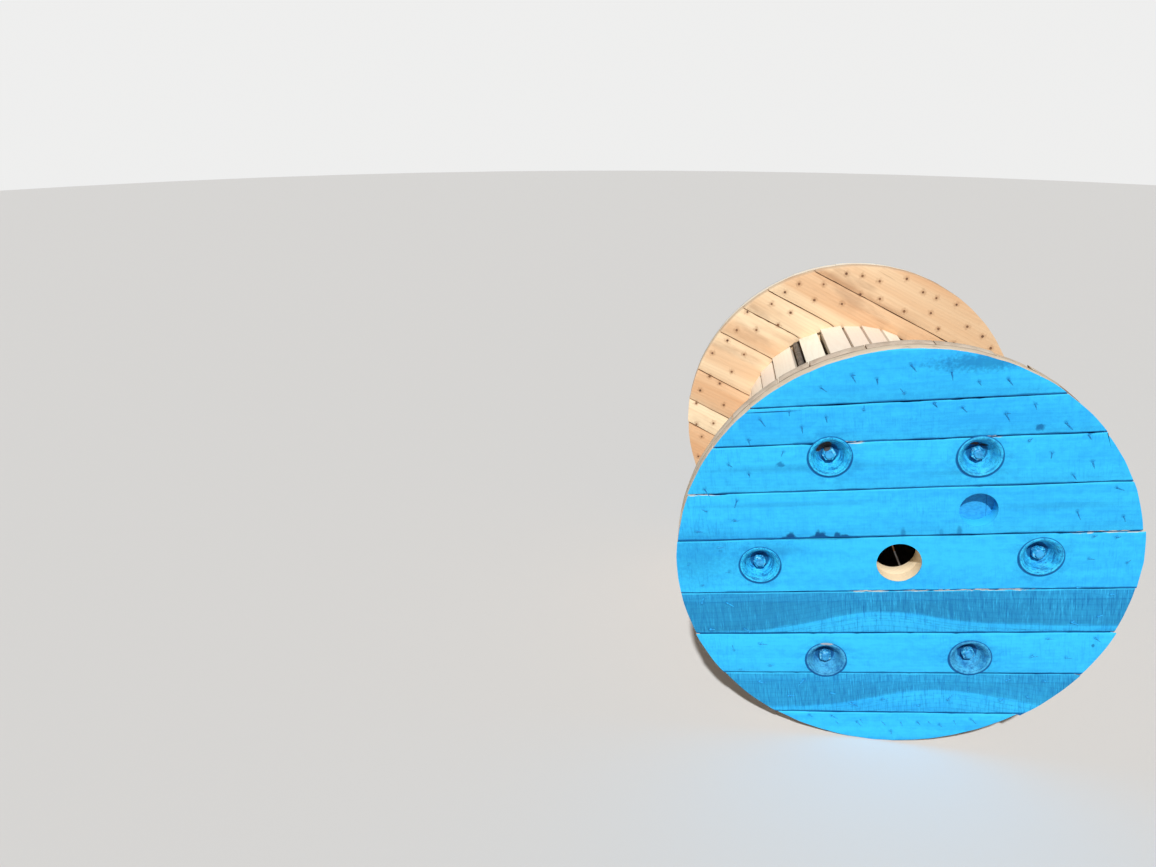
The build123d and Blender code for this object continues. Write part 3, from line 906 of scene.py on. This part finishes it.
# staves in sight at the top of the barrel, by sector and number: how far each stands out (mm), its lean
# (degrees), its width and its place to the side of the regular one (mm), its tone and its pinkness
shownStaves = {
    (2, 1): (-1, 2, 45, 1.5, 0.1, 0.3), (2, 2): (0, 2, 49, 4.2, 0.3, 0.9),
    (2, 3): (-1, 3, 43.5, 9, 0.35, 0.95), (2, 4): (2, 4, 55, 9.5, 0.15, 0.7),
    (2, 5): (-2, 6, 51.5, 1, 0.0, 0.0), (3, 1): (-2.5, 5, 58, -8.5, 0.1, 0.45),
    (3, 2): (-2, 6, 43, -12.5, 0.35, 0.95), (3, 3): (0, 4, 44, -10, 0.2, 0.5),
    (3, 4): (0, 2, 46, -6, 0.3, 0.4), (3, 5): (0, 0, 47, -2.5, 0.3, 0.6),
}
for sector in range(1, 7):
    bm = bmesh.new()
    facts, spans, looks = [], [], []
    chance = random.Random(40 + sector)
    perRod = staveValues["perRod"]
    fromRod = drum["rods"][sector - 1][0]
    pitch = ((drum["rods"][sector % 6][0] - fromRod) % 360 - staveValues["rodGap"]) / perRod
    regular = 2000 * staveValues["innerRadius"] * math.tan(math.radians(pitch / 2)) - staveValues["gap"]
    for number in range(1, perRod + 1):
        angle = fromRod + staveValues["rodGap"] / 2 + pitch * (number - 0.5)
        drift = {1: staveValues["endDrift"], perRod: -staveValues["endDrift"]}.get(number, 0)
        usual = (chance.uniform(-2, 1.5), chance.uniform(-3, 5), regular - chance.uniform(0, 2), drift,
                 chance.uniform(0, 0.45), chance.uniform(0, 1))
        out, lean, width, beside, tone, pink = shownStaves.get((sector, number), usual)
        seed = sector * perRod + number
        stave = bmesh.new()
        bmesh.ops.create_cube(stave, size=1.0)
        size = (width / 1000, staveValues["length"], staveValues["thickness"])
        bmesh.ops.scale(stave, vec=size, verts=stave.verts)
        longEdges = [edge for edge in stave.edges if edge.calc_length() > 0.1]
        bmesh.ops.subdivide_edges(stave, edges=longEdges, cuts=staveValues["cuts"], use_grid_fill=True)
        for vert in stave.verts:
            vert.co.x += 0.0007 * noise.noise(Vector((vert.co.y * 9, seed, vert.co.x * 40)))
            vert.co.z += 0.0006 * noise.noise(Vector((vert.co.y * 6, seed + 7, vert.co.x * 40)))
        corners = [edge for edge in stave.edges if edge.calc_face_angle(0) > math.radians(40)]
        roundEdges(stave, corners, staveValues["edgeRound"])
        facts += [(vert.co.y, vert.co.x, staveValues["thickness"] / 2 - vert.co.z) for vert in stave.verts]
        spans += [(-width / 2000, width / 2000, seed * 0.31)] * len(stave.verts)
        looks += [(tone, pink, 0)] * len(stave.verts)
        outOnBarrel = Matrix.Translation((beside / 1000, 0, drum["barrelMiddle"] + out / 1000))
        place = (Matrix.Rotation(math.radians(90 - angle), 4, "Y") @ outOnBarrel
                 @ Matrix.Rotation(math.radians(lean), 4, "Y"))
        bmesh.ops.transform(stave, matrix=place, verts=stave.verts)
        pour(stave, bm)
    finishShading(bm)
    makePiece(f"barrelStaves{sector}", bm, staveWood, (f"barrel_staves_{sector}",),
              {"grainPlace": facts, "boardSpan": spans, "boardLook": looks})
print("staves made")

# Tie rods, whose last 20 mm at each end carry a thread over a thinner core
rodValues = {"radius": 0.008, "end": 0.423, "thread": 0.0009, "pitch": 0.002, "turns": 9, "stepsPerTurn": 20}
for number in range(1, 7):
    bm = bmesh.new()
    crest, end, pitch = rodValues["radius"], rodValues["end"], rodValues["pitch"]
    core = crest - rodValues["thread"]
    addCone(bm, core, core, 2 * end - 0.0002, 24, alongAxis)
    addCone(bm, crest, crest, 2 * (end - 0.02), 24, alongAxis)
    for side in (-1, 1):
        thread = bmesh.new()
        start = side * (end - 0.0002)
        section = ((core - 0.0002, 0), (crest, 0.4 * pitch), (crest, 0.6 * pitch), (core - 0.0002, pitch))
        profile = [thread.verts.new((r, start - side * y, 0)) for r, y in section]
        edges = [thread.edges.new(pair) for pair in zip(profile, profile[1:])]
        steps = rodValues["stepsPerTurn"]
        bmesh.ops.spin(thread, geom=profile + edges, cent=(0, 0, 0), axis=(0, 1, 0),
                       dvec=(0, -side * pitch / steps, 0), angle=2 * math.pi * rodValues["turns"],
                       steps=steps * rodValues["turns"], use_merge=False)
        pour(thread, bm)
    bmesh.ops.recalc_face_normals(bm, faces=bm.faces)
    finishShading(bm, 50)
    bmesh.ops.translate(bm, vec=rodPlace(number - 1), verts=bm.verts)
    makePiece(f"tieRod{number}", bm, rodSteel, (f"tie_rod_{number}",))
print("rods made")

# section of a dished washer from its outer edge to the rod hole: radius and height above the board, in mm
washerSection = [
    (43.0, -0.2), (42.9, 0.5), (42.3, 1.5), (41.2, 2.3), (39.6, 2.45), (37.4, 1.7), (35.0, 0.2), (32.8, -2.6),
    (30.6, -6.8), (28.2, -11.8), (25.8, -16.6), (23.4, -20.6), (21.0, -23.4), (18.4, -24.5), (9.0, -24.5),
]
# wear and dullness of the washer on each rod
washerLooks = {1: (0.8, 0.1), 2: (0.55, 0.15), 3: (0.75, 0.0), 4: (0.8, 0.0), 5: (0.7, 0.75), 6: (0.8, 0.65)}
washerValues = {"plate": 2.4, "floorPlate": 2.2, "segments": 64}
nutValues = {"acrossFlats": 0.024, "height": 0.013, "floor": 0.4055, "chamfer": 0.0011, "cornerRound": 0.0005}

for side, outward in (("front", -1), ("rear", 1)):
    washers, nuts = bmesh.new(), bmesh.new()
    washerFacts, nutFacts = {"localPlace": [], "steelLook": []}, {"localPlace": [], "steelLook": []}
    for number in range(1, 7):
        chance = random.Random(number + (0 if side == "front" else 20))
        centre = rodPlace(number - 1, outward * drum["outerFace"])
        wear, dull = washerLooks[number]
        # washer: the section and its underside, spun about the rod
        washer = bmesh.new()
        under = [(r - 0.4, h - washerValues["plate" if h > -20 else "floorPlate"])
                 for r, h in reversed(washerSection[2:])]
        profile = [washer.verts.new((r / 1000, outward * h / 1000, 0)) for r, h in washerSection + under]
        edges = [washer.edges.new(pair) for pair in zip(profile, profile[1:] + profile[:1])]
        bmesh.ops.spin(washer, geom=profile + edges, cent=(0, 0, 0), axis=(0, 1, 0), angle=2 * math.pi,
                       steps=washerValues["segments"], use_merge=True)
        washerFacts["localPlace"] += [tuple(vert.co) for vert in washer.verts]
        washerFacts["steelLook"] += [(wear, dull, chance.uniform(0, 3))] * len(washer.verts)
        bmesh.ops.translate(washer, vec=centre, verts=washer.verts)
        pour(washer, washers)
        # nut: a hexagon with its outer corners turned off
        nut = bmesh.new()
        radius = nutValues["acrossFlats"] / math.sqrt(3)
        addCone(nut, radius, radius, nutValues["height"], 6, alongAxis)
        rim = [edge for edge in nut.edges if all(outward * vert.co.y > 0.005 for vert in edge.verts)]
        roundEdges(nut, rim, nutValues["chamfer"])
        corners = [edge for edge in nut.edges if edge.calc_face_angle(0) > math.radians(50)]
        roundEdges(nut, corners, nutValues["cornerRound"], segments=1)
        nutFacts["localPlace"] += [tuple(vert.co) for vert in nut.verts]
        nutFacts["steelLook"] += [(1.0, dull * 0.6 + 0.1, chance.uniform(0, 3))] * len(nut.verts)
        middle = Vector((centre.x, outward * (nutValues["floor"] + nutValues["height"] / 2), centre.z))
        place = Matrix.Translation(middle) @ Matrix.Rotation(math.radians(chance.uniform(0, 60)), 4, "Y")
        bmesh.ops.transform(nut, matrix=place, verts=nut.verts)
        pour(nut, nuts)
    for bm in (washers, nuts):
        bmesh.ops.recalc_face_normals(bm, faces=bm.faces)
        finishShading(bm, 40)
    makePiece(f"{side}DishedWashers", washers, paintedSteel, (f"{side}_cup_washers",),
              washerFacts)
    makePiece(f"{side}HexNuts", nuts, paintedSteel, (f"{side}_hex_nuts",), nutFacts)
print("washers and nuts made")

# Nails: heads on the inner faces, tips bent over on the painted faces
nailValues = {
    "headRadius": 0.0031,
    "headHeight": 0.0005,
    "headSunk": 0.0008,
    "shank": 0.0019,
    "tipLength": (0.01, 0.021),
    "forked": 0.35,
    "fromRim": 0.004,
}
# a row along the lowest front board
extraTips = {"level": -0.392, "from": -0.125, "to": 0.16, "count": 7, "length": 0.016}


def bendTip(bm, foot, outward, heading, length, thick, forked=False):
    # a nail's end, beaten over flat and half sunk in the board
    strokes = [(heading, length, thick)]
    if forked:
        strokes.append((heading + 0.9, length * 0.45, thick * 0.8))
    for angle, reach, width in strokes:
        way = Vector((math.cos(angle), 0, math.sin(angle)))
        if (foot + way * reach).xz.length > drum["rimRadius"] - nailValues["fromRim"]:
            way = -way
        first = foot + Vector((0, outward * width * 0.1, 0))
        last = foot + way * reach - Vector((0, outward * width * 0.4, 0))
        turn = (last - first).normalized().to_track_quat("Z", "Y").to_matrix().to_4x4()
        addCone(bm, width, width * 0.55, reach, 8, Matrix.Translation((first + last) / 2) @ turn)


def tipHeading(foot, chance):
    # the high tips lie up and down, the low ones along the boards
    if chance.random() < 0.2:
        return chance.uniform(0, 2 * math.pi)
    if foot.z > 0.1:
        return math.radians(chance.gauss(-70, 17))
    return math.radians(chance.gauss(2, 24)) if foot.z > -0.36 else math.radians(chance.gauss(-50, 14))


for side, outward in (("front", -1), ("rear", 1)):
    chance = random.Random(7 if side == "front" else 8)
    heads, tips = bmesh.new(), bmesh.new()
    headLevel = drum["outerFace"] - 2 * drum["plyThickness"] - nailValues["headHeight"] / 2 + 0.0002
    for ring in (side + "Outer", side + "Inner"):
        for angle, radius in ringPlaces(ring):
            size = nailValues["headRadius"] * chance.uniform(0.85, 1.15)
            matrix = Matrix.Translation(turned(radius, angle, outward * headLevel)) @ alongAxis
            addCone(heads, size, size, nailValues["headHeight"] + nailValues["headSunk"], 12, matrix)
            foot = turned(radius, angle, outward * (drum["outerFace"] - 0.0001))
            bendTip(tips, foot, outward, tipHeading(foot, chance), chance.uniform(*nailValues["tipLength"]),
                    nailValues["shank"] * chance.uniform(0.7, 1.15), chance.random() < nailValues["forked"])
    if side == "front":
        ends = extraTips["to"] - extraTips["from"]
        for number in range(extraTips["count"]):
            along = extraTips["from"] + ends * number / (extraTips["count"] - 1) + chance.uniform(-0.01, 0.01)
            across = extraTips["level"] + chance.uniform(-0.006, 0.006)
            foot = turned(along, grainAngles["front_outer"], 0.0001 - drum["outerFace"])
            foot += turned(across, grainAngles["front_outer"] + 90)
            heading = math.radians(chance.uniform(-75, -35))
            bendTip(tips, foot, outward, heading, extraTips["length"], nailValues["shank"] * 0.7)
    for bm in (heads, tips):
        finishShading(bm, 40)
    makePiece(f"{side}NailHeads", heads, nailRust)
    makePiece(f"{side}NailTips", tips, tipPaint)
print("nails made")

stageValues = {
    "floorLevel": -0.45,
    "floorRadius": 14,
    "floorColor": (0.65, 0.64, 0.625),
    "background": (0.86, 0.86, 0.855),
    "fill": (0.16, 0.16, 0.16),
    "sunTowards": (-0.1, -1.0, 1.05),
    "sunStrength": 3.8,
    "sunSoftness": 2.0,
}
cameraValues = {"place": (-0.4180, -2.0253, 0.8912), "look": (-0.13861, 0.91759, -0.37258), "lens": 26.677}

bm = bmesh.new()
bmesh.ops.create_circle(bm, cap_ends=True, segments=64, radius=stageValues["floorRadius"])
mesh = bpy.data.meshes.new("floor")
bm.to_mesh(mesh)
bm.free()
floor = bpy.data.objects.new("floor", mesh)
floor.location.z = stageValues["floorLevel"]
scene.collection.objects.link(floor)
material, tree, shader = startMaterial("paleFloor")
feed(shader, {"Base Color": (*stageValues["floorColor"], 1), "Roughness": 0.9, "Specular IOR Level": 0.1})
mesh.materials.append(material)

world = bpy.data.worlds.new("studio")
world.use_nodes = True
scene.world = world
paths = signalsOf(addNode("ShaderNodeLightPath", {}, world.node_tree).outputs)
seen = clamped(paths["Is Camera Ray"] + paths["Is Glossy Ray"] + paths["Is Transmission Ray"])
shown = mixColor(seen, stageValues["fill"], stageValues["background"])
feed(world.node_tree.nodes["Background"], {"Color": shown})

lamp = bpy.data.lights.new("key", "SUN")
lamp.energy = stageValues["sunStrength"]
lamp.angle = math.radians(stageValues["sunSoftness"])
key = bpy.data.objects.new("key", lamp)
key.rotation_euler = Vector(stageValues["sunTowards"]).to_track_quat("Z", "Y").to_euler()
scene.collection.objects.link(key)

lens = bpy.data.cameras.new("camera")
lens.lens = cameraValues["lens"]
lens.sensor_width = 36
lens.clip_end = 60
camera = bpy.data.objects.new("camera", lens)
camera.location = cameraValues["place"]
camera.rotation_euler = Vector(cameraValues["look"]).to_track_quat("-Z", "Y").to_euler()
scene.collection.objects.link(camera)
scene.camera = camera
print("stage set")
